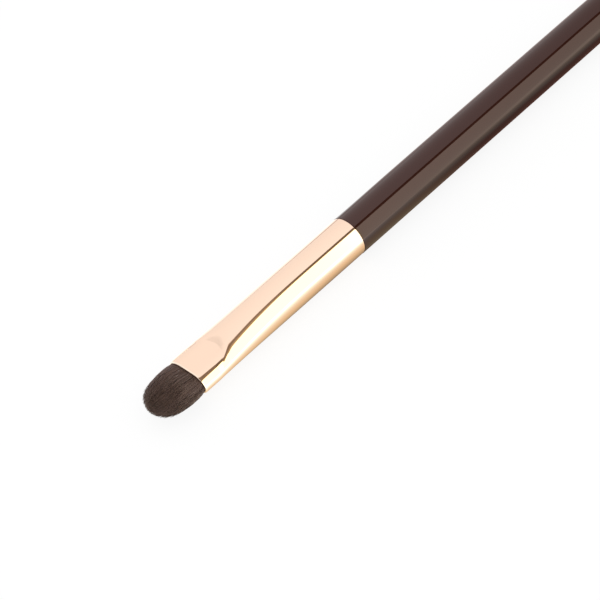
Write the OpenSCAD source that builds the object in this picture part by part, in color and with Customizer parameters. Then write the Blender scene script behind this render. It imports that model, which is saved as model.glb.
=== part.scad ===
// Eyeshadow brush with a turned, lacquered wooden handle, a metal ferrule pressed flat at its mouth
// and a short dense dome of bristles. Lengths are in millimetres.
// The origin lies on the brush axis, where the ferrule meets the handle's shoulder.
// +X points to the bristle tip, Y runs across the wide side of the mouth and +Z leaves its broad face.

/* [Handle] */
// Diameter of the handle over its lacquer
handle_d = 7.2; // [6.9:0.1:9]
// Length of the handle behind the ferrule
handle_len = 125; // [90:1:160]
// Length of the straight stretch next to the ferrule
handle_straight_len = 60; // [40:1:75]
// Diameter of the handle where its rounded end begins
butt_d = 4.8; // [3.6:0.1:6]
// Length of the rounded end
butt_len = 2.2; // [1.2:0.1:3]
// Thickness of the lacquer coat
lacquer_t = 0.15; // [0.08:0.01:0.25]

/* [Spigot] */
// Length of the wooden spigot inside the ferrule
spigot_len = 10; // [7:0.5:10]
// Thickness of the glue film round the spigot
glue_t = 0.15; // [0.08:0.01:0.3]
// Number of glue grooves turned in the spigot
glue_grooves = 3; // [1:1:3]
// Width of one glue groove
groove_w = 0.8; // [0.4:0.1:1]
// Depth of one glue groove
groove_depth = 0.25; // [0.1:0.05:0.5]
// Spacing of the glue grooves
groove_pitch = 2.2; // [1.6:0.1:2.4]
// Chamfer on the end of the spigot
spigot_chamfer = 0.5; // [0.2:0.1:1]

/* [Ferrule] */
// Outer diameter of the ferrule's round stretch
ferrule_d = 7.1; // [6.5:0.1:7.3]
// Wall thickness of the ferrule tube
ferrule_wall = 0.3; // [0.2:0.05:0.5]
// Length of the ferrule
ferrule_len = 37.5; // [34:0.5:46]
// Length of the round stretch that grips the spigot
ferrule_round_len = 10.5; // [10.5:0.5:14]
// Width of the mouth over the metal
mouth_w = 8.2; // [7.5:0.05:9]
// Thickness of the mouth over the metal
mouth_t = 3.9; // [3.4:0.1:4.8]
// Thickness that the drawn tube still has where the press takes over
neck_t = 5.9; // [5.2:0.1:6.4]
// Length of the pressed flat along the middle of the broad face
press_len = 9.5; // [7:0.1:11]
// Length over which the metal steps down into the pressed flat
press_ramp = 2.8; // [2:0.1:3.4]
// How far the press line sweeps forward from the middle to the narrow sides
press_sweep = 2.4; // [1.5:0.1:4]
// Bevel on the rim of the mouth
rim_bevel = 0.08; // [0.04:0.01:0.12]

/* [Bristles] */
// Length of the bristles beyond the mouth
tuft_len = 8.4; // [6:0.1:12]
// Width of the tuft where it is fullest
tuft_w = 8.35; // [7.8:0.05:9.5]
// Thickness of the tuft where it is fullest
tuft_t = 5; // [4:0.1:6]
// Strands across the width of the tuft
strand_cols = 33; // [28:1:34]
// Strands through the thickness of the tuft
strand_rows = 14; // [11:1:14]
// Thickness of the slice of packed roots that carries the strands
slice_t = 0.5; // [0.3:0.1:1]
// Depth of that slice's front face below the rim
slice_depth = 0.3; // [0.2:0.1:0.6]

/* [Root bundle] */
// Length of the bundle of roots inside the ferrule
root_len = 19.2; // [18:0.1:20]
// Diameter of the bundle where the thread ties it
tie_d = 4.4; // [3.6:0.1:4.8]
// Diameter of the binding thread
thread_d = 0.4; // [0.2:0.05:0.6]
// Turns of binding thread
thread_turns = 3; // [2:1:4]
// Distance of the first turn from the end of the bundle
thread_inset = 0.8; // [0.5:0.1:1]
// Length of the resin plug round the roots
resin_len = 7.5; // [5:0.1:8.5]
// Distance of the resin plug from the end of the bundle
resin_inset = 3; // [3:0.1:3.6]
// Length of the bundle just below the mouth that fills the whole bore
root_fill_len = 3.6; // [2:0.1:4]

/* [Hidden] */
$fn = 32;
// clearance between pieces that are pushed into the faceted stretch of the bore
seat_gap = 0.03;
// clearance between the moving slice of roots and the bore
slice_gap = 0.06;
// free end left on the glue film at each end of the spigot
film_margin = 0.4;
// step where the faceted stretch of the tube starts, so that its faces stay inside the round wall
seam_step = 0.02;
// gap between neighbouring turns of thread, negative because the turns press together
turn_gap = -0.04;

// powers of the curves: handle taper, widening, thinning, press line, step down into the flat, spacing of
// rings and dome outline
taper_power = 1.6;
widen_power = 2.7;
thin_power = 2.52;
sweep_power = 1.7;
ramp_power = 3.3;
spacing_power = 1.3;
dome_power = 3.9;
// share of the mouth's width that is flat, and the most that the thinning may run on past the press line
flat_share = 0.38;
// share of the pressed length over which the mouth has its full width
full_width_share = 0.375;
run_on_share = 1.17;
// shares of a cell that a strand fills at its root and at its middle, and where its middle lies
root_share = 0.72;
middle_share = 0.66;
middle_place_share = 0.66;
// least share of the bore's half width that a strand's place is divided by at the narrow sides
edge_share = 0.001;
// share of the way from the roots to the bore at which the resin begins
wetting_share = 0.1;
// number of facets round the ferrule and what fills it, and of steps along the curves
ferrule_facets = $fn;
taper_steps = 6;
butt_steps = 5;
neck_steps = 7;
press_steps = 13;
thread_facets = 14;

// radii and half sizes
handle_r = handle_d / 2;
butt_r = butt_d / 2;
ferrule_r = ferrule_d / 2;
bore_r = ferrule_r - ferrule_wall;
spigot_r = bore_r - glue_t;
neck_half = neck_t / 2;
mouth_half_w = mouth_w / 2;
mouth_half_t = mouth_t / 2;
// places along the axis: start of the press, full width of the mouth, root bundle, resin and slice
press_x = ferrule_len - press_len;
full_width_x = ferrule_len - press_len * full_width_share;
root_back_x = ferrule_len - slice_depth - slice_t - root_len;
root_front_x = root_back_x + root_len;
fill_x = root_front_x - root_fill_len;
resin_back_x = root_back_x + resin_inset;
resin_front_x = resin_back_x + resin_len;
slice_front_x = root_front_x + slice_t;
strand_len = slice_depth + tuft_len;

function ease(t) = t <= 0 ? 0 : t >= 1 ? 1 : t * t * (3 - 2 * t);
function ramp_up(t, power) = pow(max(0, t), power);

// Radius of the handle at x, less a skin of the given thickness
function handle_radius(x, skin) =
    let (back = -x - handle_straight_len, run = handle_len - butt_len - handle_straight_len)
    handle_r - skin - (handle_r - butt_r) * ramp_up(back / run, taper_power);

// Outline of the handle behind its shoulder, as [radius, x] from the shoulder to the tip of the butt
function handle_outline(skin) = concat(
    [[handle_r - skin, 0]],
    [for (k = [0 : taper_steps])
        let (x = -handle_straight_len - (handle_len - butt_len - handle_straight_len) * k / taper_steps)
        [handle_radius(x, skin), x]],
    [for (k = [1 : butt_steps])
        let (a = 90 * k / butt_steps)
        [k == butt_steps ? 0 : (butt_r - skin) * cos(a), -handle_len + butt_len - (butt_len - skin) * sin(a)]]);

// Turns an outline of [radius, x] points about the brush axis
module turned(outline) rotate([0, 90, 0]) rotate_extrude() polygon(outline);

// Half the width and half the thickness of the drawn tube at x
function half_width(x) = ferrule_r + (mouth_half_w - ferrule_r)
    * ramp_up(min(1, (x - ferrule_round_len) / (full_width_x - ferrule_round_len)), widen_power);
function half_depth(x) = max(mouth_half_t,
    ferrule_r - (ferrule_r - neck_half)
    * ramp_up(min(run_on_share, (x - ferrule_round_len) / (press_x - ferrule_round_len)), thin_power));

// Height of the pressed section for a place c across it, from -1 to 1: flat, with elliptic ends
function pressed_height(c) = abs(c) <= flat_share ? 1
    : sqrt(max(0, 1 - pow((abs(c) - flat_share) / (1 - flat_share), 2)));
// How far the press has taken over at x, later towards the narrow sides: soft at first, creased at the flat
function pressed(x, c) =
    ramp_up(min(1, (x - press_x - press_sweep * pow(abs(c), sweep_power)) / press_ramp), ramp_power);

// Point of the tube's section at x and angle a, set inwards by a skin
function tube_point(x, a, skin) =
    let (c = cos(a), s = sin(a), k = pressed(x, c))
    [x, (half_width(x) - skin) * c,
        sign(s) * ((1 - k) * (half_depth(x) - skin) * abs(s)
                   + k * (mouth_half_t - skin) * pressed_height(c))];
function tube_ring(x, skin) = [for (i = [0 : ferrule_facets - 1]) tube_point(x, 360 * i / ferrule_facets, skin)];

// Ring of what is pushed into the bore, with its clearance
function seated_ring(x) = tube_ring(x, ferrule_wall + seat_gap);
function narrower(p, limit) = sign(p) * min(abs(p), abs(limit));
function between(p, q, t) = p + (q - p) * t;
// Ring of the root bundle: round where it is tied, never past the bore, and filling it below the mouth
function root_ring(x) =
    let (k = ease((x - resin_back_x) / (fill_x - resin_back_x)), bore = seated_ring(x))
    [for (i = [0 : ferrule_facets - 1])
        let (a = 360 * i / ferrule_facets)
        [x, narrower(between(tie_d / 2 * cos(a), bore[i][1], k), bore[i][1]),
            narrower(between(tie_d / 2 * sin(a), bore[i][2], k), bore[i][2])]];

// Triangles between two rings of n points that start at points p and q, the second one nearer the tip
function band(p, q, n) = [for (i = [0 : n - 1])
    let (j = (i + 1) % n)
    each [[p + i, q + i, q + j], [p + i, q + j, p + j]]];
function turned_over(faces) = [for (f = faces) [for (k = [len(f) - 1 : -1 : 0]) f[k]]];

// Solid through rings that follow one another towards the tip
module loft(rings) {
    n = len(rings[0]);
    last = len(rings) - 1;
    polyhedron([for (r = rings) each r], concat(
        [[for (i = [0 : n - 1]) i]],
        [for (k = [0 : last - 1]) each band(k * n, (k + 1) * n, n)],
        [[for (i = [n - 1 : -1 : 0]) last * n + i]]));
}

// Tube between outer rings and as many inner rings
module tube_loft(outer, inner) {
    n = len(outer[0]);
    count = len(outer);
    shift = count * n;
    polyhedron([for (r = concat(outer, inner)) each r], concat(
        [for (k = [0 : count - 2]) each band(k * n, (k + 1) * n, n)],
        turned_over([for (k = [0 : count - 2]) each band(shift + k * n, shift + (k + 1) * n, n)]),
        turned_over(band(0, shift, n)),
        band((count - 1) * n, shift + (count - 1) * n, n)));
}

// Turned wooden core: rounded butt, slow taper, straight stretch, shoulder and grooved spigot
module handle_core() {
    outline = concat(
        [[0, spigot_len], [spigot_r - spigot_chamfer, spigot_len], [spigot_r, spigot_len - spigot_chamfer]],
        [for (g = [glue_grooves - 1 : -1 : 0])
            let (x = groove_x(g))
            each [[spigot_r, x + groove_w], [spigot_r - groove_depth, x + groove_w],
                  [spigot_r - groove_depth, x], [spigot_r, x]]],
        [[spigot_r, 0]],
        handle_outline(lacquer_t));
    color("burlywood") turned(outline);
}
// Start of glue groove g, the grooves being centred on the glue film
function groove_x(g) = (spigot_len - groove_w - groove_pitch * (glue_grooves - 1)) / 2 + groove_pitch * g;

// Lacquer coat over the whole handle behind the ferrule
module handle_lacquer() {
    inner = handle_outline(lacquer_t);
    color("#3b2724") turned(concat(handle_outline(0), [for (k = [len(inner) - 1 : -1 : 0]) inner[k]]));
}

// Glue film that fills the gap and the grooves between spigot and ferrule
module spigot_adhesive() {
    front = spigot_len - spigot_chamfer - film_margin / 2;
    color("khaki") turned(concat(
        [[spigot_r, film_margin], [bore_r, film_margin], [bore_r, front], [spigot_r, front]],
        [for (g = [glue_grooves - 1 : -1 : 0])
            let (x = groove_x(g))
            each [[spigot_r, x + groove_w], [spigot_r - groove_depth, x + groove_w],
                  [spigot_r - groove_depth, x], [spigot_r, x]]]));
}

// Places of the ferrule's rings: closest where the press steps the metal down
ferrule_places = concat(
    [for (k = [0 : neck_steps - 1])
        ferrule_round_len + (press_x - ferrule_round_len) * k / neck_steps],
    [for (k = [0 : press_steps])
        press_x + (press_len - rim_bevel) * pow(k / press_steps, spacing_power)],
    [ferrule_len]);
// The ferrule's own places between two ends, so that what fills the bore bends where the bore bends
function places_between(back, front) =
    concat([back], [for (x = ferrule_places) if (x > back && x < front) x], [front]);
// Skin of ring k: it steps in at the seam with the round stretch and at the bevelled rim
function ring_skin(k) = k == 0 ? seam_step : k == len(ferrule_places) - 1 ? rim_bevel : 0;

// Seamless metal tube: round on the spigot, drawn oval along the neck and pressed flat at the mouth
module ferrule() {
    rings = [0 : len(ferrule_places) - 1];
    color("#f0d3b8") union() {
        turned([[bore_r, 0], [ferrule_r, 0], [ferrule_r, ferrule_round_len], [bore_r, ferrule_round_len]]);
        tube_loft(
            [for (k = rings) tube_ring(ferrule_places[k], ring_skin(k))],
            [for (k = rings) tube_ring(ferrule_places[k], ferrule_wall - ring_skin(k))]);
    }
}

// Resin plug cast round the roots inside the neck
module root_resin() {
    places = places_between(resin_back_x, resin_front_x);
    color("goldenrod") tube_loft(
        [for (x = places) seated_ring(x)],
        [for (x = places) between(root_ring(x), seated_ring(x), wetting_share)]);
}

// Thread tied round the bundle behind the resin
module root_thread() {
    pitch = thread_d + turn_gap;
    start = root_back_x + thread_inset + thread_d / 2;
    color("ivory") rotate([0, 90, 0]) rotate_extrude()
        union() for (k = [0 : thread_turns - 1])
            translate([tie_d / 2 + thread_d / 2, start + pitch * k]) circle(d = thread_d, $fn = thread_facets);
}

// Gripped stretch of the bristles, from the tied end to just below the mouth
module bristle_roots() {
    places = concat([root_back_x], places_between(resin_back_x, root_front_x));
    color("#2e2422") loft([for (x = places) root_ring(x)]);
}

// Place on the unit disc for a place on the unit square, so that a square grid fills the oval
function disc(u, v) = [u * sqrt(1 - v * v / 2), v * sqrt(1 - u * u / 2)];
// A disc place at the slice, stretched to the bore's section, and the same place where the tuft is fullest
function at_slice(d) =
    let (rise = d[1] / max(edge_share, sqrt(max(0, 1 - d[0] * d[0]))))
    [d[0] * (mouth_half_w - ferrule_wall - slice_gap),
     rise * pressed_height(d[0]) * (mouth_half_t - ferrule_wall - slice_gap)];
function at_fullest(d) = [d[0] * tuft_w / 2, d[1] * tuft_t / 2];
// Length of the strand at a disc place: the tips together form the dome
function strand_reach(d) = strand_len * pow(max(0, 1 - d[0] * d[0] - d[1] * d[1]), 1 / dome_power);

// Dense dome of three-sided strands on their slice of packed roots
module bristle_tuft() {
    cols = strand_cols;
    rows = strand_rows;
    grid = [for (j = [0 : rows], i = [0 : cols]) disc(2 * i / cols - 1, 2 * j / rows - 1)];
    cells = [for (j = [0 : rows - 1], i = [0 : cols - 1])
        let (c = j * (cols + 1) + i) [c, c + 1, c + cols + 2, c + cols + 1]];
    edge = concat([for (i = [0 : cols - 1]) i],
                  [for (j = [0 : rows - 1]) j * (cols + 1) + cols],
                  [for (i = [cols : -1 : 1]) rows * (cols + 1) + i],
                  [for (j = [rows : -1 : 1]) j * (cols + 1)]);
    front = [for (d = grid) let (p = at_slice(d)) [slice_front_x, p[0], p[1]]];
    back = [for (e = edge) let (p = at_slice(grid[e])) [root_front_x, p[0], p[1]]];
    strands = [for (c = cells) each strand_points([for (k = c) grid[k]])];
    first_back = len(front);
    first_strand = first_back + len(back);
    turn = len(edge);
    color("#2b2220") polyhedron(concat(front, back, strands), concat(
        [for (n = [0 : len(cells) - 1]) each strand_faces(cells[n], first_strand + 7 * n)],
        [for (i = [0 : turn - 1])
            let (j = (i + 1) % turn)
            each [[first_back + i, edge[i], edge[j]], [first_back + i, edge[j], first_back + j]]],
        [[for (i = [0 : turn - 1]) first_back + i]]));
}
// Seven points of one strand: three at its root, three at its middle and its tip
function strand_points(corners) =
    let (centre = (corners[0] + corners[1] + corners[2] + corners[3]) / 4,
         spread = [corners[0], corners[1], (corners[2] + corners[3]) / 2],
         reach = strand_reach(centre),
         tip = at_fullest(centre))
    concat(
        [for (s = spread) let (p = at_slice(between(centre, s, root_share))) [slice_front_x, p[0], p[1]]],
        [for (s = spread)
            let (p = at_fullest(between(centre, s, middle_share)))
            [slice_front_x + reach * middle_place_share, p[0], p[1]]],
        [[slice_front_x + reach, tip[0], tip[1]]]);
// Sixteen triangles of one strand: the cell's floor round its root, its two lengths and its tip
function strand_faces(c, p) = concat(
    turned_over([[c[0], c[1], p + 1], [c[0], p + 1, p], [c[1], c[2], p + 1], [c[2], p + 2, p + 1],
                 [c[2], c[3], p + 2], [c[3], p, p + 2], [c[3], c[0], p]]),
    band(p, p + 3, 3),
    [for (k = [0 : 2]) [p + 3 + k, p + 6, p + 3 + (k + 1) % 3]]);

handle_core();
handle_lacquer();
ferrule();
spigot_adhesive();
root_resin();
root_thread();
bristle_roots();
bristle_tuft();
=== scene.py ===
import math

import bmesh
import bpy
import numpy as np
from mathutils import Matrix, Vector


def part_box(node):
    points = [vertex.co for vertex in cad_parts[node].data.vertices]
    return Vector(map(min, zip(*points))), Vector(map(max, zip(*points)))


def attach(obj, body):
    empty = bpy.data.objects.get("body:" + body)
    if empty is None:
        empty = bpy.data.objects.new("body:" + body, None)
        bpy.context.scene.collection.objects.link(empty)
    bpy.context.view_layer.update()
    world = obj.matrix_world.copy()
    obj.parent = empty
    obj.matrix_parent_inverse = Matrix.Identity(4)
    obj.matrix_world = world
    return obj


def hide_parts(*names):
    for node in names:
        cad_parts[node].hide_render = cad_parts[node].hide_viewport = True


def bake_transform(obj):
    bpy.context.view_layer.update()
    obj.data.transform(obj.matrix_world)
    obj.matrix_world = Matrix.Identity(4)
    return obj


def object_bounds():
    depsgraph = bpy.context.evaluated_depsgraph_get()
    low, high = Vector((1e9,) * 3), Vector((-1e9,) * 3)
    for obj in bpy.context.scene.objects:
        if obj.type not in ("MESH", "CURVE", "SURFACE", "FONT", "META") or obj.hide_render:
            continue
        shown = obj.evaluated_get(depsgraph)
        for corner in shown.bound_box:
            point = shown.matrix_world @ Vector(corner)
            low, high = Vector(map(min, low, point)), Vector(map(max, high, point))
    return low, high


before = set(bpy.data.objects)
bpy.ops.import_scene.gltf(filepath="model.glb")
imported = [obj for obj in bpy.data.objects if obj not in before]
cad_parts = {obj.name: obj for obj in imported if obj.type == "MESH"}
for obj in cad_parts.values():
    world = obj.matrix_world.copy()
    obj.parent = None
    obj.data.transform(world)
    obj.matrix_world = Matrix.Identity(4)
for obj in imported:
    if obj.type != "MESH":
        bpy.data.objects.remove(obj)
cadLow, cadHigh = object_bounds()  # the CAD model's box, before anything is dressed
mm = 0.001  # sizes below are in millimetres, the scene is in metres
scene = bpy.context.scene
scene.view_settings.view_transform = "Standard"
print("frame loaded:", ", ".join(sorted(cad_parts)))


# sRGB hex colour to the linear values that the sockets take
def linearColour(hexColour):
    values = [int(hexColour[k:k + 2], 16) / 255 for k in (1, 3, 5)]
    return [v / 12.92 if v <= 0.04045 else ((v + 0.055) / 1.055) ** 2.4 for v in values] + [1.0]


# one node with its settings, fixed inputs and links
def addNode(tree, kind, settings={}, inputs={}):
    node = tree.nodes.new(kind)
    for name, value in settings.items():
        setattr(node, name, value)
    for name, value in inputs.items():
        if isinstance(value, bpy.types.NodeSocket):
            tree.links.new(value, node.inputs[name])
        else:
            node.inputs[name].default_value = value
    return node


# the outputs of a Mix node share one name, this picks the one in use
def mixOut(node):
    return [o for o in node.outputs if o.enabled][0]


# the two input limits of a Map Range node
def fromSpan(pair, unit=1):
    return {"From Min": pair[0] * unit, "From Max": pair[1] * unit}


# scale of a pattern that is so many millimetres long along the brush and so many wide across it
def patternScale(long, wide):
    return [1 / (long * mm), 1 / (wide * mm), 1 / (wide * mm)]


# stops of a colour ramp from pairs of place and colour, a new ramp has the first two already
def fillRamp(ramp, pairs):
    stops = ramp.color_ramp.elements
    ready = len(stops)
    for k, (at, colour) in enumerate(pairs):
        stop = stops[k] if k < ready else stops.new(at)
        stop.position = at
        stop.color = colour


def newMaterial(name):
    material = bpy.data.materials.new(name)
    material.use_nodes = True
    material.node_tree.nodes.clear()
    return material, material.node_tree


smooth = {"interpolation_type": "SMOOTHSTEP"}  # a Map Range node with a soft start and end

# camera: a long lens above the broad face, looking down on the brush as it lies on a table
camera = {
    "frame": 600,  # width and height of the photograph in pixels
    "focal": 2600,  # focal length in pixels of that frame
    "sensor": 36,
    "near": 10,
    "far": 10000,
    "place": (193.21, 217.0, 304.46),
    "aim": (14.97, 3.09, 0.06),
    "roll": -9.87,  # degrees that the picture's right side points up from the horizon
}


def makeCamera(c):
    data = bpy.data.cameras.new("camera")
    data.sensor_width = c["sensor"]
    data.lens = c["focal"] / c["frame"] * c["sensor"]
    data.clip_start, data.clip_end = c["near"] * mm, c["far"] * mm
    obj = bpy.data.objects.new("camera", data)
    scene.collection.objects.link(obj)
    forward = (Vector(c["aim"]) - Vector(c["place"])).normalized()
    level = forward.cross(Vector((0, 0, 1))).normalized()
    rise = level.cross(forward)
    roll = math.radians(c["roll"])
    right = level * math.cos(roll) + rise * math.sin(roll)
    up = rise * math.cos(roll) - level * math.sin(roll)
    turn = Matrix((right, up, -forward)).transposed().to_4x4()
    obj.matrix_world = Matrix.Translation(Vector(c["place"]) * mm) @ turn
    scene.camera = obj


makeCamera(camera)
print("camera made")

# studio: two broad soft panels over the brush with a narrow dark gap between them. Dull surfaces get the
# plain level, and only gloss shows the panels
studio = {
    "plainLevel": 1.0,  # level of the soft light on dull surfaces, and of the white background
    "leftPanel": 1.2,  # level of the panel on the -Y side
    "leftColour": "#FFFAF8",
    "leftFar": 0.88,  # share of that level at the panel's far edge
    "rightPanel": 2.45,  # level of the panel on the +Y side
    "rightColour": "#FFFCEC",  # as the handle shows it
    "rightCream": "#FFFCD3",  # as the ferrule shows it
    "gapLevel": 0.1,  # level of the gap as the handle shows it
    "gapBright": 0.21,  # and towards +X
    "gapColour": "#FFD6AA",
    "gapAngle": 67.6,  # degrees from +Y up to the middle of the gap
    "gapHalf": 6.0,  # degrees from there to its edges
    "gapEdge": 1.2,  # degrees over which an edge is soft, to each side
    "gapFlare": 1.42,  # the gap is this many times wider a little towards +X
    "gapMouth": 1.2,  # and this much more beyond that
    "frontLevel": 0.88,  # share of the level that is left towards +X
    "backLevel": 0.78,  # and far towards -X
    # X of the directions between which each of them sets in
    "creamX": (-0.462, -0.456),
    "brightX": (-0.44, -0.38),
    "flareX": (-0.43, -0.34),
    "mouthX": (-0.3, -0.15),
    "frontX": (0.1, 0.5),
    "backX": (-0.45, -0.57),
}


def makeWorld(s):
    world = bpy.data.worlds.new("softPanels")
    scene.world = world
    world.use_nodes = True
    tree = world.node_tree
    tree.nodes.clear()
    direction = addNode(tree, "ShaderNodeTexCoord").outputs["Generated"]
    part = addNode(tree, "ShaderNodeSeparateXYZ", {}, {"Vector": direction}).outputs
    angle = addNode(tree, "ShaderNodeMath", {"operation": "ARCTAN2"}, {
        0: part["Z"], 1: part["Y"]}).outputs[0]
    gap, half, edge = (math.radians(s[k]) for k in ("gapAngle", "gapHalf", "gapEdge"))
    # level of the panels, right of the gap and left of it
    side = addNode(tree, "ShaderNodeMapRange", smooth, {
        "Value": angle, "From Min": gap - half, "From Max": gap + half,
        "To Min": s["rightPanel"], "To Max": s["leftPanel"]}).outputs[0]
    fade = addNode(tree, "ShaderNodeMapRange", {}, {
        "Value": angle, "From Min": gap, "From Max": math.pi,
        "To Min": 1.0, "To Max": s["leftFar"]}).outputs[0]
    # how far a direction lies from the gap's middle, in a gap that widens towards +X
    offset = addNode(tree, "ShaderNodeMath", {"operation": "SUBTRACT"}, {0: angle, 1: gap}).outputs[0]
    away = addNode(tree, "ShaderNodeMath", {"operation": "ABSOLUTE"}, {0: offset}).outputs[0]
    flare = addNode(tree, "ShaderNodeMapRange", {}, {
        "Value": part["X"], **fromSpan(s["flareX"]), "To Min": 1.0, "To Max": s["gapFlare"]}).outputs[0]
    mouth = addNode(tree, "ShaderNodeMapRange", {}, {
        "Value": part["X"], **fromSpan(s["mouthX"]), "To Max": s["gapMouth"]}).outputs[0]
    flare = addNode(tree, "ShaderNodeMath", {"operation": "ADD"}, {0: flare, 1: mouth}).outputs[0]
    away = addNode(tree, "ShaderNodeMath", {"operation": "DIVIDE"}, {0: away, 1: flare}).outputs[0]
    gapLevel = addNode(tree, "ShaderNodeMapRange", {}, {
        "Value": part["X"], **fromSpan(s["brightX"]),
        "To Min": s["gapLevel"], "To Max": s["gapBright"]}).outputs[0]
    opening = addNode(tree, "ShaderNodeMapRange", smooth, {
        "Value": away, "From Min": half - edge, "From Max": half + edge,
        "To Min": gapLevel, "To Max": 1.0}).outputs[0]
    front = addNode(tree, "ShaderNodeMapRange", smooth, {
        "Value": part["X"], **fromSpan(s["frontX"]), "To Min": 1.0, "To Max": s["frontLevel"]}).outputs[0]
    back = addNode(tree, "ShaderNodeMapRange", smooth, {
        "Value": part["X"], **fromSpan(s["backX"]), "To Min": 1.0, "To Max": s["backLevel"]}).outputs[0]
    level = side
    for factor in (fade, opening, front, back):
        level = addNode(tree, "ShaderNodeMath", {"operation": "MULTIPLY"}, {0: level, 1: factor}).outputs[0]
    path = addNode(tree, "ShaderNodeLightPath")
    strength = addNode(tree, "ShaderNodeMix", {"data_type": "FLOAT"}, {
        "Factor": path.outputs["Is Glossy Ray"], "A": s["plainLevel"], "B": level})
    # colour of the panels and of the gap
    onRight = addNode(tree, "ShaderNodeMapRange", smooth, {
        "Value": angle, "From Min": gap + half, "From Max": gap - half}).outputs[0]
    onFerrule = addNode(tree, "ShaderNodeMapRange", {}, {
        "Value": part["X"], **fromSpan(s["creamX"])}).outputs[0]
    rightTint = addNode(tree, "ShaderNodeMix", {"data_type": "VECTOR"}, {
        "Factor": onFerrule,
        "A": linearColour(s["rightColour"])[:3], "B": linearColour(s["rightCream"])[:3]})
    panels = addNode(tree, "ShaderNodeMix", {"data_type": "VECTOR"}, {
        "Factor": onRight, "A": linearColour(s["leftColour"])[:3], "B": mixOut(rightTint)})
    gloss = addNode(tree, "ShaderNodeMix", {"data_type": "VECTOR"}, {
        "Factor": opening, "A": linearColour(s["gapColour"])[:3], "B": mixOut(panels)})
    tint = addNode(tree, "ShaderNodeMix", {"data_type": "VECTOR"}, {
        "Factor": path.outputs["Is Glossy Ray"], "A": (1, 1, 1), "B": mixOut(gloss)})
    light = addNode(tree, "ShaderNodeBackground", {}, {
        "Color": mixOut(tint), "Strength": mixOut(strength)})
    addNode(tree, "ShaderNodeOutputWorld", {}, {"Surface": light.outputs[0]})


# table: a pale matt card. What gloss shows of it is painted light and shade: on the +Y side a band that
# narrows from the joint to the mouth, painted shade beside the brush rising to painted light further out,
# as pairs of a share of the band's width and a colour level
table = {
    "size": 4000,
    "colour": "#646464",
    "glow": 0.88,  # what the camera sees besides, so that the card comes out white around a soft shadow
    "bandWide": 12.8,
    "bandNarrow": 7.2,
    "bandX": (5, 37),  # where it has these two widths
    # gloss levels of the band, painted: dark painted shade next to the brush, up to painted light brighter
    # than the card is lit
    "bandFerrule": [(0.2, (0.3, 0.2, 0.14)), (0.3, (0.55, 0.44, 0.29)), (0.48, (0.88, 0.69, 0.46)),
                    (0.7, (1.0, 0.87, 0.67)), (1.0, (1.13, 1.16, 1.02)), (1.6, (1.7, 1.75, 1.65)),
                    (2.3, (2.9, 2.85, 2.5))],
    "bandHandle": [(0.2, (0.2, 0.08, 0.06)), (0.38, (0.28, 0.15, 0.12)), (0.52, (0.34, 0.22, 0.19)),
                   (0.77, (0.62, 0.64, 0.57)), (1.36, (1.4, 1.4, 1.15)), (2.2, (2.3, 2.25, 1.9))],
    "changeX": (-5, -34),  # where the first of them gives way to the second
    # gloss levels on the -Y side, painted: painted light beside the ferrule, painted shade beside the handle
    "leftLevel": 1.25,  # on the -Y side, beside the ferrule
    "leftShade": (0.72, 0.62, 0.6),  # and beside the handle
    "shadeX": (-8, -20),
}


# colour levels along one value; the ramp itself holds shares of the top level
def levelRamp(tree, place, pairs):
    widest = pairs[-1][0]
    top = max(max(level) for share, level in pairs)
    share = addNode(tree, "ShaderNodeMath", {"operation": "DIVIDE"}, {0: place, 1: widest}).outputs[0]
    ramp = addNode(tree, "ShaderNodeValToRGB", {}, {"Fac": share})
    fillRamp(ramp, [(at / widest, [v / top for v in level] + [1.0]) for at, level in pairs])
    return addNode(tree, "ShaderNodeVectorMath", {"operation": "SCALE"}, {
        "Vector": ramp.outputs["Color"], "Scale": top}).outputs[0]


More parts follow.
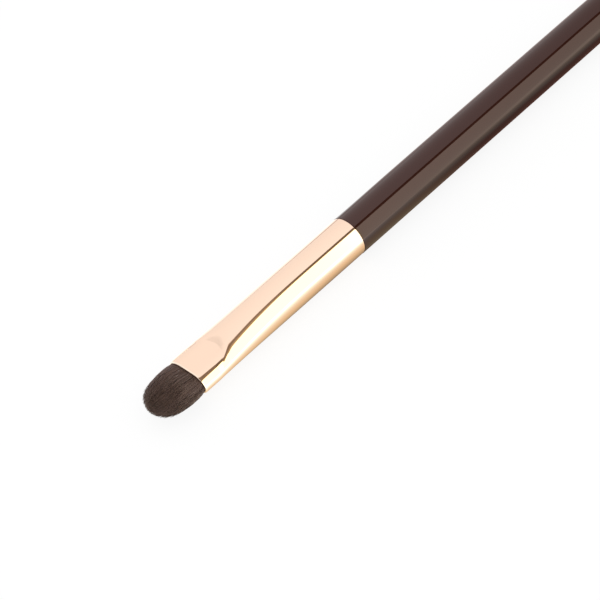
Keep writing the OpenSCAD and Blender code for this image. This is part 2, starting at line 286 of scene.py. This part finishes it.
def makeTable(t):
    half = t["size"] * mm / 2
    corners = [(-half, -half), (half, -half), (half, half), (-half, half)]
    mesh = bpy.data.meshes.new("tableTop")
    mesh.from_pydata([(x, y, cadLow.z) for x, y in corners], [], [(0, 1, 2, 3)])
    obj = bpy.data.objects.new("tableTop", mesh)
    scene.collection.objects.link(obj)
    # matt white card: dull and even to the camera, around a soft shadow under the brush; what gloss sees is
    # a painted glow instead, with painted shade beside the brush and painted light further out
    material, tree = newMaterial("mattCardPaintedReflection")
    path = addNode(tree, "ShaderNodeLightPath")
    dull = addNode(tree, "ShaderNodeBsdfDiffuse", {}, {"Color": linearColour(t["colour"])})
    glowLevel = addNode(tree, "ShaderNodeMath", {"operation": "MULTIPLY"}, {
        0: path.outputs["Is Camera Ray"], 1: t["glow"]}).outputs[0]
    glow = addNode(tree, "ShaderNodeEmission", {}, {"Color": (1, 1, 1, 1), "Strength": glowLevel})
    seen = addNode(tree, "ShaderNodeAddShader", {}, {0: dull.outputs[0], 1: glow.outputs[0]})
    place = addNode(tree, "ShaderNodeTexCoord").outputs["Object"]
    part = addNode(tree, "ShaderNodeSeparateXYZ", {}, {"Vector": place}).outputs
    width = addNode(tree, "ShaderNodeMapRange", {}, {
        "Value": part["X"], **fromSpan(t["bandX"], mm),
        "To Min": t["bandWide"] * mm, "To Max": t["bandNarrow"] * mm}).outputs[0]
    out = addNode(tree, "ShaderNodeMath", {"operation": "DIVIDE"}, {0: part["Y"], 1: width}).outputs[0]
    change = addNode(tree, "ShaderNodeMapRange", smooth, {
        "Value": part["X"], **fromSpan(t["changeX"], mm)}).outputs[0]
    right = addNode(tree, "ShaderNodeMix", {"data_type": "VECTOR"}, {
        "Factor": change,
        "A": levelRamp(tree, out, t["bandFerrule"]), "B": levelRamp(tree, out, t["bandHandle"])})
    shade = addNode(tree, "ShaderNodeMapRange", smooth, {
        "Value": part["X"], **fromSpan(t["shadeX"], mm)}).outputs[0]
    left = addNode(tree, "ShaderNodeMix", {"data_type": "VECTOR"}, {
        "Factor": shade, "A": [t["leftLevel"]] * 3, "B": t["leftShade"]})
    beyond = addNode(tree, "ShaderNodeMath", {"operation": "GREATER_THAN"}, {0: part["Y"], 1: 0})
    tone = addNode(tree, "ShaderNodeMix", {"data_type": "VECTOR"}, {
        "Factor": beyond.outputs[0], "A": mixOut(left), "B": mixOut(right)})
    # the card as gloss sees it: a painted glow, painted shade beside the brush and painted light beyond
    paintedReflectionGlow = addNode(tree, "ShaderNodeEmission", {}, {"Color": mixOut(tone)})
    both = addNode(tree, "ShaderNodeMixShader", {}, {
        0: path.outputs["Is Glossy Ray"], 1: seen.outputs[0], 2: paintedReflectionGlow.outputs[0]})
    addNode(tree, "ShaderNodeOutputMaterial", {}, {"Surface": both.outputs[0]})
    mesh.materials.append(material)


makeWorld(studio)
makeTable(table)
print("studio made")

mergeGap = 0.0001  # points nearer to each other than this are one


# closed skin through rings of equally many points, given in millimetres, the last ring joined to the first
def ringMesh(name, rings, material):
    rings = np.asarray(rings, float)
    ringCount, count = rings.shape[:2]
    faces = []
    for k in range(ringCount):
        here, there = k * count, (k + 1) % ringCount * count
        faces += [(here + i, here + (i + 1) % count, there + (i + 1) % count, there + i)
                  for i in range(count)]
    mesh = bpy.data.meshes.new(name)
    mesh.from_pydata((rings.reshape(-1, 3) * mm).tolist(), [], faces)
    work = bmesh.new()
    work.from_mesh(mesh)
    bmesh.ops.remove_doubles(work, verts=work.verts, dist=mergeGap * mm)
    bmesh.ops.recalc_face_normals(work, faces=work.faces)
    work.to_mesh(mesh)
    work.free()
    mesh.shade_smooth()
    mesh.materials.append(material)
    obj = bpy.data.objects.new(name, mesh)
    scene.collection.objects.link(obj)
    return obj


# angles of a quarter turn in equal steps
def arc(steps):
    return [math.pi / 2 * k / steps for k in range(steps + 1)]


# handle: sprayed lacquer over turned wood, straight behind the ferrule, then a slow taper to a round butt.
# Its length and thickness come from the CAD node
handle = {
    "straightLen": 60,
    "buttD": 4.8,
    "buttLen": 2.2,
    "coat": 0.15,  # thickness of the lacquer
    "taperPower": 1.6,
    "shoulderRound": 0.12,
    "facets": 128,
    "shoulderSteps": 6,
    # two rings behind the shoulder keep its shading crisp: times the rounding, plus millimetres
    "holdRings": ((2, 0.02), (4, 0.1)),
    "straightRings": 6,
    "taperRings": 36,
    "buttRings": 14,
    "colour": "#311610",
    "cloudColour": "#2D130E",
    "cloudWide": 6,
    "peelWide": 1.5,
    "peelDepth": 0.01,
    "peelStrength": 0.04,
    "roughness": 0.05,
    "ior": 1.55,
    "sheenTint": "#FFE3E0",
}


def lacquerMaterial(h):
    # sprayed polyester lacquer, deep brown: smooth and wet-looking, with sharp, slightly warm reflections
    material, tree = newMaterial("sprayedLacquer")
    place = addNode(tree, "ShaderNodeTexCoord").outputs["Object"]
    # orange peel of the spray: shallow waves
    peel = addNode(tree, "ShaderNodeTexNoise", {}, {
        "Vector": place, "Scale": 1 / (h["peelWide"] * mm), "Detail": 1.0})
    bump = addNode(tree, "ShaderNodeBump", {}, {
        "Strength": h["peelStrength"], "Distance": h["peelDepth"] * mm, "Height": peel.outputs["Fac"]})
    # pigment clouds, hardly seen
    cloud = addNode(tree, "ShaderNodeTexNoise", {}, {
        "Vector": place, "Scale": 1 / (h["cloudWide"] * mm), "Detail": 2.0})
    tone = addNode(tree, "ShaderNodeMix", {"data_type": "RGBA"}, {
        "Factor": cloud.outputs["Fac"],
        "A": linearColour(h["colour"]), "B": linearColour(h["cloudColour"])})
    skin = addNode(tree, "ShaderNodeBsdfPrincipled", {}, {
        "Base Color": mixOut(tone), "Roughness": h["roughness"], "IOR": h["ior"],
        "Specular Tint": linearColour(h["sheenTint"]), "Normal": bump.outputs[0]})
    addNode(tree, "ShaderNodeOutputMaterial", {}, {"Surface": skin.outputs[0]})
    return material


def makeLacquer(h):
    low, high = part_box("handle_lacquer")
    length, radius = -low.x / mm, high.y / mm
    run = length - h["buttLen"] - h["straightLen"]
    buttRadius = h["buttD"] / 2

    # x and radius from the shoulder to the tip of the butt, set inwards by a skin
    def outline(skin, shoulder):
        points = [(0, radius - skin)]
        if shoulder:
            points = [(-shoulder + shoulder * math.cos(a), radius - skin - shoulder + shoulder * math.sin(a))
                      for a in arc(h["shoulderSteps"])]
        points += [(-(times * shoulder + more), radius - skin) for times, more in h["holdRings"]]
        straight = h["straightRings"]
        points += [(-h["straightLen"] * k / straight, radius - skin) for k in range(1, straight + 1)]
        for k in range(1, h["taperRings"] + 1):
            share = k / h["taperRings"]
            drop = (radius - buttRadius) * share ** h["taperPower"]
            points.append((-h["straightLen"] - run * share, radius - skin - drop))
        for a in arc(h["buttRings"])[1:]:
            points.append((-length + h["buttLen"] - (h["buttLen"] - skin) * math.sin(a),
                           (buttRadius - skin) * math.cos(a)))
        return points

    section = outline(0, h["shoulderRound"]) + outline(h["coat"], 0)[::-1]
    turn = np.arange(h["facets"]) * 2 * math.pi / h["facets"]
    rings = [np.stack([np.full_like(turn, x), r * np.cos(turn), r * np.sin(turn)], axis=1)
             for x, r in section]
    obj = ringMesh("lacquerCoat", rings, lacquerMaterial(h))
    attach(obj, "brush")
    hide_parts("handle_lacquer")


makeLacquer(handle)
print("lacquered handle made")

# ferrule: drawn tube, round on the handle, oval along the neck and pressed flat at the mouth. Its length,
# its round size and the mouth's width come from the CAD node
ferrule = {
    "wall": 0.3,
    "roundLen": 10.5,
    "mouthT": 3.9,
    "neckT": 5.9,  # thickness that the tube still has where the press takes over
    "pressLen": 9.5,
    "pressRamp": 2.8,  # length over which the metal steps down into the pressed flat
    "pressSweep": 2.4,  # how far the press line sweeps forward from the middle to the narrow sides
    "fullWidthShare": 0.375,
    "flatShare": 0.38,
    # shares of the half width between which the press leaves a bevel: where that begins and at the mouth
    "bevelFrom": (0.69, 0.64),
    "bevelTo": (0.762, 0.79),
    "bevelLen": 5.7,
    "runOnShare": 1.17,
    "widenPower": 2.7,
    "thinPower": 2.52,
    "sweepPower": 1.7,
    "rampPower": 3.3,
    "rimRound": 0.25,
    "backRound": 0.08,
    "facets": 192,
    # rings along the tube: outside over the round stretch, neck and press, then back through the bore
    "roundRings": 7,
    "neckRings": 40,
    "pressRings": 76,
    "borePressRings": 40,
    "boreRings": 24,
    "backSteps": 3,
    "rimSteps": 6,
    "lipSteps": 2,
    # rings that hold the rounded edges in shape, in times their rounding
    "backHold": (1.5, 3),
    "rimHold": 1.15,
    "colour": "#F3D9C4",
    "rimHighlightColour": "#FCEBD8",  # paler colour painted on the rounded rim: a painted highlight
    "rimHighlightWidth": 0.22,
    "highlightSpan": (1.3, 0.7),  # the painted highlight sets in and is full so many times its width from the rim
    "lineLong": 20,
    "lineWide": 0.25,
    "lineDepth": 0.002,
    "lineStrength": 0.03,
    "roughness": 0.07,
    "roughSpan": (0.7, 1.3),  # shares of the roughness that the draw lines make
}


def ease(t):
    t = np.clip(t, 0, 1)
    return t * t * (3 - 2 * t)


# the pressed section's height for a place from -1 to 1 across it: flat with elliptic ends and a bevel
def pressedHeight(place, f, toMouth=0):
    place = np.abs(place)
    share = float(np.clip(1 - toMouth / f["bevelLen"], 0, 1))

    def ellipse(p):
        past = np.clip((p - f["flatShare"]) / (1 - f["flatShare"]), 0, 1)
        return np.sqrt(1 - past ** 2)

    start, end = (low + (high - low) * share for low, high in (f["bevelFrom"], f["bevelTo"]))
    bevel = ellipse(start) + (ellipse(end) - ellipse(start)) * (place - start) / (end - start)
    return np.where((place > start) & (place < end), bevel, ellipse(place))


# ring of the tube at x, set inwards by a skin, from the same values and powers as in the CAD source
def ferruleRing(x, skin, f, size):
    length, halfW, radius = size
    pressX = length - f["pressLen"]
    fullX = length - f["pressLen"] * f["fullWidthShare"]
    widen = np.clip((x - f["roundLen"]) / (fullX - f["roundLen"]), 0, 1) ** f["widenPower"]
    thin = np.clip((x - f["roundLen"]) / (pressX - f["roundLen"]), 0, f["runOnShare"]) ** f["thinPower"]
    halfWidth = radius + (halfW - radius) * widen
    halfDepth = max(f["mouthT"] / 2, radius - (radius - f["neckT"] / 2) * thin)
    turn = np.arange(f["facets"]) * 2 * math.pi / f["facets"]
    c, s = np.cos(turn), np.sin(turn)
    taken = (x - pressX - f["pressSweep"] * np.abs(c) ** f["sweepPower"]) / f["pressRamp"]
    taken = np.clip(taken, 0, 1) ** f["rampPower"]
    flat = (f["mouthT"] / 2 - skin) * pressedHeight(c, f, length - x)
    drawn = (halfDepth - skin) * np.abs(s)
    upDown = np.sign(np.round(s, 9))  # rounded, so that the two narrow sides lie at height zero
    height = upDown * ((1 - taken) * drawn + taken * flat)
    return np.stack([np.full_like(c, x), (halfWidth - skin) * c, height], axis=1)


def ferruleMaterial(f):
    # drawn brass tube, polished and plated in pale rose gold: a clear mirror with very faint draw lines
    material, tree = newMaterial("roseGoldPlatedBrass")
    place = addNode(tree, "ShaderNodeTexCoord").outputs["Object"]
    # draw lines run along the tube; real ones are 0.05 mm apart, drawn wider to show at all
    stretch = addNode(tree, "ShaderNodeMapping", {}, {
        "Vector": place, "Scale": patternScale(f["lineLong"], f["lineWide"])})
    lines = addNode(tree, "ShaderNodeTexNoise", {}, {
        "Vector": stretch.outputs[0], "Scale": 1.0, "Detail": 3.0})
    rough = addNode(tree, "ShaderNodeMapRange", {}, {
        "Value": lines.outputs["Fac"], "To Min": f["roughness"] * f["roughSpan"][0],
        "To Max": f["roughness"] * f["roughSpan"][1]}).outputs[0]
    bump = addNode(tree, "ShaderNodeBump", {}, {
        "Strength": f["lineStrength"], "Distance": f["lineDepth"] * mm, "Height": lines.outputs["Fac"]})
    part = addNode(tree, "ShaderNodeSeparateXYZ", {}, {"Vector": place}).outputs
    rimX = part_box("ferrule")[1].x
    # paler rim colour: a painted highlight on the rounded rim
    rimHighlight = addNode(tree, "ShaderNodeMapRange", smooth, {
        "Value": part["X"], **fromSpan([rimX - times * f["rimHighlightWidth"] * mm for times in f["highlightSpan"]])})
    tone = addNode(tree, "ShaderNodeMix", {"data_type": "RGBA"}, {
        "Factor": rimHighlight.outputs[0], "A": linearColour(f["colour"]), "B": linearColour(f["rimHighlightColour"])})
    metal = addNode(tree, "ShaderNodeBsdfPrincipled", {}, {
        "Base Color": mixOut(tone), "Metallic": 1.0, "Roughness": rough, "Normal": bump.outputs[0]})
    addNode(tree, "ShaderNodeOutputMaterial", {}, {"Surface": metal.outputs[0]})
    return material


def makeFerrule(f):
    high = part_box("ferrule")[1]
    size = (high.x / mm, high.y / mm, high.z / mm)
    length, wall = size[0], f["wall"]
    pressX = length - f["pressLen"]
    back, rim = f["backRound"], f["rimRound"]
    # places along the tube with how far the skin lies inwards there
    outer = [(back - back * math.cos(a), back - back * math.sin(a)) for a in arc(f["backSteps"])]
    outer += [(times * back, 0) for times in f["backHold"]]
    outer += [(x, 0) for x in np.linspace(back, f["roundLen"], f["roundRings"])[1:]]
    outer += [(x, 0) for x in np.linspace(f["roundLen"], pressX, f["neckRings"])[1:]]
    outer += [(x, 0) for x in np.linspace(pressX, length - rim, f["pressRings"])[1:-1]]
    outer += [(length - times * rim, 0) for times in (f["rimHold"], 1)]
    lip = [(length - rim + rim * math.sin(a), rim - rim * math.cos(a)) for a in arc(f["rimSteps"])[1:]]
    edge = wall - rim
    lip += [(length - edge + edge * math.cos(a), rim + edge * math.sin(a)) for a in arc(f["lipSteps"])[1:]]
    inner = [(x, wall) for x in np.linspace(length - edge, pressX, f["borePressRings"])[1:]]
    inner += [(x, wall) for x in np.linspace(pressX, 0, f["boreRings"])[1:]]
    rings = [ferruleRing(x, skin, f, size) for x, skin in outer + lip + inner]
    obj = ringMesh("ferruleTube", rings, ferruleMaterial(f))
    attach(obj, "brush")
    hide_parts("ferrule")


makeFerrule(ferrule)
print("ferrule made")

# bristles: thousands of tapered filaments, gathered in the mouth and cut to a dome
bristles = {
    "seed": 6922,
    "count": 4500,
    "rootX": 36.75,  # where the filaments begin, inside the mouth
    "sliceX": 37.2,  # from here they are free
    "sliceGap": 0.02,
    "jumble": 90,  # how many places a filament may lie off its even place
    "turnJumble": 0.4,  # and how many radians round the middle
    "tuftW": 8.24,
    "tuftT": 5.0,
    "domePower": 4.2,
    "gather": 0.5,  # how strongly the outer filaments lean in towards the tip
    "lean": (0.03, -0.08),  # how far the tuft sags along Y and Z
    "swellTo": (0.17, 0.38),  # shares of the length by which it has its full width and its full thickness
    "sides": 3,  # of one filament
    "radius": 0.045,  # a real filament is nearer 0.035, drawn thicker so that these fill the tuft
    "tipRadius": 0.008,
    "taperFrom": 0.55,  # share of a filament's length where it begins to taper
    "rings": (0, 0.04, 0.1, 0.2, 0.36, 0.56, 0.78, 1),  # shares of a filament's length
    "wander": 0.03,  # how far a tip lies off its place
    "strays": 0.02,  # share of the filaments that stray further
    "strayWander": 0.16,
    "wanderPower": 2,
    "weave": 0.014,  # how far a filament waves along its length
    "weaveTurn": 9,  # radians of that wave
    "locks": 640,
    "lockPull": 0.85,  # how far the tips of a lock draw together
    "pullPowers": (2, 6),  # powers of the reach and of the place on a filament: only its tip is drawn
    "lockSpread": 0.028,  # unevenness in the length of the locks
    "tipSpread": 0.02,  # and of single filaments
    "leastReach": 0.05,
    "tipOver": 0.15,  # how far the longest filament could pass the CAD dome
    "edgeShare": 0.001,  # least height of the disc that a place is divided by, near the narrow sides
    # tone ramp; its top stop is the colour of the painted glints
    "tones": [(0.05, "#3E2D28"), (0.4, "#62493F"), (0.8, "#86726E"), (1.0, "#EBDCD5")],
    "baseTone": 0.17,
    "ownTone": 0.25,  # how much a filament's own shade adds
    "clumpTone": 0.08,  # and that of the patch it stands in
    "clumpWaves": ((23, 1.3), (17, 0.4)),  # waves of the patches across and over, and where they begin
    "paintedSideSheen": (0.42, 0.16),  # painted sheen: how much lighter the filaments are on the -Y side and on the +Y side
    "paintedSheenPower": 2.5,
    "grainTone": 0.05,  # unevenness along a filament
    "topTone": 0.8,  # the lightest that a filament gets beside its glint
    "paintedGlints": 0.03,  # share of the filaments with a short painted glint
    "paintedGapShade": 0.02,  # and with a dark gap: painted shade between filaments
    "bareRings": 2,  # rings at each end that carry neither
    "roughness": 0.45,
    "ior": 1.55,
}


def bristleMaterial(b):
    # tapered polyester filament, dyed dark brown: a dull body with a silky shine along each filament
    material, tree = newMaterial("dyedPolyesterFilament")
    # per-filament tone, which also carries painted sheen, painted glints and painted gap shade
    tone = addNode(tree, "ShaderNodeAttribute", {"attribute_name": "fibreToneAndPaintedLight"}).outputs["Fac"]
    ramp = addNode(tree, "ShaderNodeValToRGB", {}, {"Fac": tone})
    fillRamp(ramp, [(at, linearColour(colour)) for at, colour in b["tones"]])
    hair = addNode(tree, "ShaderNodeBsdfPrincipled", {}, {
        "Base Color": ramp.outputs["Color"], "Roughness": b["roughness"], "IOR": b["ior"]})
    addNode(tree, "ShaderNodeOutputMaterial", {}, {"Surface": hair.outputs[0]})
    return material


def makeBristles(b, f):
    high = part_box("bristle_tuft")[1]
    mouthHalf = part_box("ferrule")[1].y / mm
    draw = np.random.RandomState(b["seed"])
    count, ringCount, sides = b["count"], len(b["rings"]), b["sides"]
    # even places on a disc, nudged
    halfPlace = 0.5
    goldenShare = 3 - math.sqrt(5)  # the golden angle as a share of half a turn
    order = np.arange(count) + halfPlace
    nudged = order + draw.uniform(-b["jumble"], b["jumble"], count)
    rho = np.sqrt(np.clip(nudged, halfPlace, count - 1) / count)
    theta = order * math.pi * goldenShare + draw.uniform(-b["turnJumble"], b["turnJumble"], count)
    across, over = rho * np.cos(theta), rho * np.sin(theta)
    # the same places in the mouth and where the tuft is fullest
    inside = f["wall"] + b["sliceGap"] + b["radius"]
    rise = over / np.maximum(b["edgeShare"], np.sqrt(1 - across ** 2))
    rootY = across * (mouthHalf - inside)
    rootZ = rise * pressedHeight(across, f) * (f["mouthT"] / 2 - inside)
    fullY = across * (b["tuftW"] / 2 - b["lean"][0] - b["radius"])
    fullZ = over * (b["tuftT"] / 2 - b["radius"])
    # filaments cling together in small locks
    middles = draw.permutation(count)[:b["locks"]]
    apart = (across[:, None] - across[middles]) ** 2 + (over[:, None] - over[middles]) ** 2
    lock = np.argmin(apart, axis=1)
    pullY = (across[middles][lock] - across) * b["lockPull"] * (mouthHalf - b["radius"])
    pullZ = (over[middles][lock] - over) * b["lockPull"] * b["tuftT"] / 2
    # how far each filament reaches: the tips lie on the dome, some a little short of it
    longest = high.x / mm - b["sliceX"] + b["tipOver"]
    limit = rho ** (1 / (1 - b["gather"]))
    reach = (1 - limit ** 2) ** (1 / b["domePower"])
    ownShort = np.abs(draw.normal(0, b["tipSpread"], count))
    lockShort = np.abs(draw.normal(0, b["lockSpread"], b["locks"]))[lock]
    reach = np.clip(reach * (1 + (-ownShort - lockShort)), b["leastReach"], 1)
    stray = draw.random_sample(count) < b["strays"]
    wander = np.where(stray, b["strayWander"], b["wander"])
    driftY, driftZ = draw.normal(0, 1, count) * wander, draw.normal(0, 1, count) * wander
    twist, phaseY, phaseZ = draw.uniform(0, 2 * math.pi, (3, count))
    corners = np.arange(sides) * 2 * math.pi / sides
    points = np.zeros((count, ringCount, sides, 3))
    for k, share in enumerate(b["rings"]):
        along = reach * share
        wide, thick = (ease(along / end) for end in b["swellTo"])
        envelope = np.sqrt(np.clip(1 - along ** b["domePower"], 0, 1)) ** b["gather"]
        drift = along ** b["wanderPower"]
        pull = along ** b["pullPowers"][0] * share ** b["pullPowers"][1]
        curl = b["weave"] * thick
        y = rootY * (1 - wide) + (fullY * envelope + b["lean"][0]) * wide + driftY * drift + pullY * pull
        z = rootZ * (1 - thick) + (fullZ * envelope + b["lean"][1]) * thick + driftZ * drift + pullZ * pull
        y += curl * np.sin(b["weaveTurn"] * share + phaseY)
        z += curl * np.sin(b["weaveTurn"] * share + phaseZ)
        x = np.full(count, b["rootX"]) if k == 0 else b["sliceX"] + longest * along
        thin = max(0, (share - b["taperFrom"]) / (1 - b["taperFrom"]))
        radius = b["radius"] + (b["tipRadius"] - b["radius"]) * thin
        for side in range(sides):
            points[:, k, side, 0] = x
            points[:, k, side, 1] = y + radius * np.cos(twist + corners[side])
            points[:, k, side, 2] = z + radius * np.sin(twist + corners[side])
    faces = []
    for n in range(count):
        base = n * ringCount * sides
        faces.append(tuple(range(base + sides - 1, base - 1, -1)))
        for k in range(ringCount - 1):
            here, there = base + sides * k, base + sides * k + sides
            faces += [(here + i, here + (i + 1) % sides, there + (i + 1) % sides, there + i)
                      for i in range(sides)]
        last = base + sides * (ringCount - 1)
        faces.append(tuple(range(last, last + sides)))
    mesh = bpy.data.meshes.new("bristleHair")
    flat = points.reshape(-1, 3)
    flat[:, 1] = np.clip(flat[:, 1], -b["tuftW"] / 2, b["tuftW"] / 2)
    mesh.from_pydata((flat * mm).tolist(), [], faces)
    mesh.shade_smooth()
    # tone of each filament: its own shade, in patches that hold together, with painted sheen at the tuft's
    # sides, and uneven along it, with short painted glints and painted shade of dark gaps
    (waveY, startY), (waveZ, startZ) = b["clumpWaves"]
    clump = np.sin(across * waveY + startY) * np.sin(over * waveZ + startZ) * 0.5 + 0.5
    paintedSideSheen = np.where(across < 0, *b["paintedSideSheen"]) * np.abs(across / rho) ** b["paintedSheenPower"]
    tone = b["ownTone"] * draw.random_sample(count) + b["clumpTone"] * clump + b["baseTone"] + paintedSideSheen
    grain = draw.normal(0, b["grainTone"], (count, ringCount))
    tone = np.clip(tone[:, None] + grain, 0, b["topTone"])
    kind, place = draw.random_sample(count), draw.randint(b["bareRings"], ringCount - b["bareRings"], count)
    lit, unlit = kind < b["paintedGlints"], kind > 1 - b["paintedGapShade"]
    # painted glints and painted gap shade, each on one ring of a few filaments
    tone[lit, place[lit]] = 1.0
    tone[unlit, place[unlit]] = 0.0
    # the tone, with its painted sheen, glints and gap shade, goes on every point
    attribute = mesh.attributes.new("fibreToneAndPaintedLight", "FLOAT", "POINT")
    attribute.data.foreach_set("value", np.repeat(tone.ravel(), sides).astype(np.float32))
    mesh.materials.append(bristleMaterial(b))
    obj = bpy.data.objects.new("bristleHair", mesh)
    scene.collection.objects.link(obj)
    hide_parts("bristle_tuft")
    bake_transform(obj)


makeBristles(bristles, ferrule)
print("bristles made")


# pieces inside the ferrule and under the lacquer keep their CAD shapes and get their own finish
def dress(node, material):
    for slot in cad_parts[node].material_slots:
        slot.material = material


# wood under the lacquer and in the ferrule
woodCore = {
    "pale": "#D2AC7C",
    "dark": "#A77B4C",
    "grainLong": 14,
    "grainWide": 0.5,
    "fleckLong": 1.6,
    "fleckWide": 0.25,
    "fleckEdge": (0.12, 0.2),  # shares of a cell between which a fleck fades out
    "fleckTone": 0.8,
    "grainDepth": 0.02,
    "grainStrength": 0.3,
    "roughness": 0.55,
    "ior": 1.5,
}


def woodMaterial(w):
    # turned and sanded beech: dull pale wood with fine lines along the grain and short dark flecks
    material, tree = newMaterial("turnedBeech")
    place = addNode(tree, "ShaderNodeTexCoord").outputs["Object"]
    run = addNode(tree, "ShaderNodeMapping", {}, {
        "Vector": place, "Scale": patternScale(w["grainLong"], w["grainWide"])})
    grain = addNode(tree, "ShaderNodeTexNoise", {}, {"Vector": run.outputs[0], "Scale": 1.0, "Detail": 3.0})
    ray = addNode(tree, "ShaderNodeMapping", {}, {
        "Vector": place, "Scale": patternScale(w["fleckLong"], w["fleckWide"])})
    spots = addNode(tree, "ShaderNodeTexVoronoi", {}, {"Vector": ray.outputs[0], "Scale": 1.0})
    fleck = addNode(tree, "ShaderNodeMapRange", {}, {
        "Value": spots.outputs["Distance"], **fromSpan(w["fleckEdge"]),
        "To Min": w["fleckTone"], "To Max": 0.0})
    amount = addNode(tree, "ShaderNodeMath", {"operation": "MAXIMUM"}, {
        0: grain.outputs["Fac"], 1: fleck.outputs[0]}).outputs[0]
    tone = addNode(tree, "ShaderNodeMix", {"data_type": "RGBA"}, {
        "Factor": amount, "A": linearColour(w["pale"]), "B": linearColour(w["dark"])})
    bump = addNode(tree, "ShaderNodeBump", {}, {
        "Strength": w["grainStrength"], "Distance": w["grainDepth"] * mm, "Height": amount})
    wood = addNode(tree, "ShaderNodeBsdfPrincipled", {}, {
        "Base Color": mixOut(tone), "Roughness": w["roughness"], "IOR": w["ior"], "Normal": bump.outputs[0]})
    addNode(tree, "ShaderNodeOutputMaterial", {}, {"Surface": wood.outputs[0]})
    return material


# glue film on the spigot and resin round the roots: one kind of finish in two colours
castFinish = {
    "cloudWide": 2,
    "bubbleEdge": (0.1, 0.25),  # shares of a cell between which a bubble's wall rises
    "bubbleDepth": 0.03,
    "bubbleStrength": 0.4,
    "ior": 1.55,
}
spigotGlue = {
    "name": "curedGlueFilm",
    "clear": "#CDBB84",
    "deep": "#A8925A",
    "bubble": 0.35,
    "roughness": 0.4,
    **castFinish,
}
rootResin = {
    "name": "castAmberResin",
    "clear": "#C98A35",
    "deep": "#8E5A1C",
    "bubble": 0.6,
    "roughness": 0.18,
    **castFinish,
}


def resinMaterial(r):
    # two-part resin, poured and cured: amber and glossy, deeper in some places, with small trapped bubbles
    material, tree = newMaterial(r["name"])
    place = addNode(tree, "ShaderNodeTexCoord").outputs["Object"]
    cloud = addNode(tree, "ShaderNodeTexNoise", {}, {
        "Vector": place, "Scale": 1 / (r["cloudWide"] * mm), "Detail": 2.0})
    tone = addNode(tree, "ShaderNodeMix", {"data_type": "RGBA"}, {
        "Factor": cloud.outputs["Fac"], "A": linearColour(r["clear"]), "B": linearColour(r["deep"])})
    cells = addNode(tree, "ShaderNodeTexVoronoi", {}, {"Vector": place, "Scale": 1 / (r["bubble"] * mm)})
    bubble = addNode(tree, "ShaderNodeMapRange", {}, {
        "Value": cells.outputs["Distance"], **fromSpan(r["bubbleEdge"])})
    bump = addNode(tree, "ShaderNodeBump", {}, {
        "Strength": r["bubbleStrength"], "Distance": r["bubbleDepth"] * mm, "Height": bubble.outputs[0]})
    body = addNode(tree, "ShaderNodeBsdfPrincipled", {}, {
        "Base Color": mixOut(tone), "Roughness": r["roughness"], "IOR": r["ior"], "Normal": bump.outputs[0]})
    addNode(tree, "ShaderNodeOutputMaterial", {}, {"Surface": body.outputs[0]})
    return material


# thread tied round the roots
tieThread = {
    "pale": "#E3DAC4",
    "dark": "#B5A88A",
    "lay": 0.8,  # length of one turn of the plies
    "waveUnit": 10,  # radians that a diagonal wave texture runs through in one unit
    "plyDepth": 0.05,
    "plyStrength": 0.6,
    "roughness": 0.6,
    "ior": 1.45,
}


def threadMaterial(t):
    # waxed cotton thread, two-ply: cream, with a slanting shade line at each turn of the plies
    material, tree = newMaterial("waxedCottonThread")
    place = addNode(tree, "ShaderNodeTexCoord").outputs["Object"]
    plies = addNode(tree, "ShaderNodeTexWave", {"bands_direction": "DIAGONAL"}, {
        "Vector": place, "Scale": 2 * math.pi / (t["waveUnit"] * t["lay"] * mm),
        "Distortion": 1.0, "Detail": 2.0})
    tone = addNode(tree, "ShaderNodeMix", {"data_type": "RGBA"}, {
        "Factor": plies.outputs["Fac"], "A": linearColour(t["dark"]), "B": linearColour(t["pale"])})
    bump = addNode(tree, "ShaderNodeBump", {}, {
        "Strength": t["plyStrength"], "Distance": t["plyDepth"] * mm, "Height": plies.outputs["Fac"]})
    yarn = addNode(tree, "ShaderNodeBsdfPrincipled", {}, {
        "Base Color": mixOut(tone), "Roughness": t["roughness"], "IOR": t["ior"], "Normal": bump.outputs[0]})
    addNode(tree, "ShaderNodeOutputMaterial", {}, {"Surface": yarn.outputs[0]})
    return material


# gripped stretch of the bristles
rootBundle = {
    "dark": "#2B1F1C",
    "light": "#6B534B",
    "fibreLong": 6,
    "fibreWide": 0.15,
    "fibreDepth": 0.05,
    "fibreStrength": 0.6,
    "roughness": 0.45,
    "ior": 1.55,
}


def rootMaterial(r):
    # packed ends of the polyester filaments: dark, with lighter lines along the bundle; the real filaments
    # are 0.07 mm thick and are drawn twice as wide to show at all
    material, tree = newMaterial("packedFilamentRoots")
    place = addNode(tree, "ShaderNodeTexCoord").outputs["Object"]
    run = addNode(tree, "ShaderNodeMapping", {}, {
        "Vector": place, "Scale": patternScale(r["fibreLong"], r["fibreWide"])})
    lines = addNode(tree, "ShaderNodeTexNoise", {}, {"Vector": run.outputs[0], "Scale": 1.0, "Detail": 2.0})
    tone = addNode(tree, "ShaderNodeMix", {"data_type": "RGBA"}, {
        "Factor": lines.outputs["Fac"], "A": linearColour(r["dark"]), "B": linearColour(r["light"])})
    bump = addNode(tree, "ShaderNodeBump", {}, {
        "Strength": r["fibreStrength"], "Distance": r["fibreDepth"] * mm, "Height": lines.outputs["Fac"]})
    hair = addNode(tree, "ShaderNodeBsdfPrincipled", {}, {
        "Base Color": mixOut(tone), "Roughness": r["roughness"], "IOR": r["ior"], "Normal": bump.outputs[0]})
    addNode(tree, "ShaderNodeOutputMaterial", {}, {"Surface": hair.outputs[0]})
    return material


dress("handle_core", woodMaterial(woodCore))
dress("spigot_adhesive", resinMaterial(spigotGlue))
dress("root_resin", resinMaterial(rootResin))
dress("root_thread", threadMaterial(tieThread))
dress("bristle_roots", rootMaterial(rootBundle))
print("inner pieces finished")
